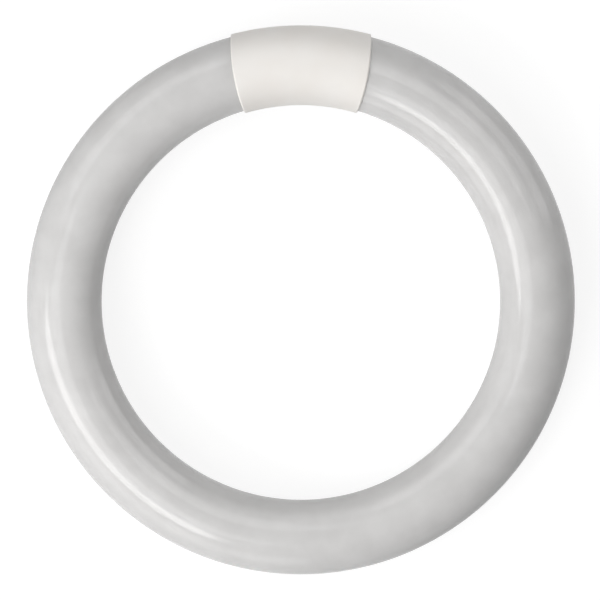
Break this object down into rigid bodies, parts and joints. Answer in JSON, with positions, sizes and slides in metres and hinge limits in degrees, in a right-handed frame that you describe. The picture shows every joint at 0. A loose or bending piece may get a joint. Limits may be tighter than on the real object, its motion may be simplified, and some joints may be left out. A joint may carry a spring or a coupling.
{
  "type": "circular fluorescent tube",
  "caption": "White ring of fluorescent glass tube, its ends joined by a smooth moulded base with contact pins slanting inwards at the back.",
  "frame": {"origin": "centre of the ring, in the plane of the tube's centre line", "axes": "+Z along the ring's axis, out of the face the picture shows; +Y from the centre to the base"},
  "size_m": [0.2096, 0.2104, 0.0333],
  "materials": {
    "coated_glass": "gloss",
    "base_plastic": "satin",
    "plated_pin": "satin",
    "lead_metal": "drawn",
    "woven_sleeve": "woven"
  },
  "bodies": {
    "root": {"glass_tube": "coated_glass", "base_front_shell": "base_plastic", "base_back_shell": "base_plastic", "contact_pin_1": "plated_pin", "lead_wire_1": "lead_metal", "lead_sleeve_1": "woven_sleeve", "contact_pin_2": "plated_pin", "lead_wire_2": "lead_metal", "lead_sleeve_2": "woven_sleeve", "contact_pin_3": "plated_pin", "lead_wire_3": "lead_metal", "lead_sleeve_3": "woven_sleeve", "contact_pin_4": "plated_pin", "lead_wire_4": "lead_metal", "lead_sleeve_4": "woven_sleeve"}
  },
  "joints": []
}
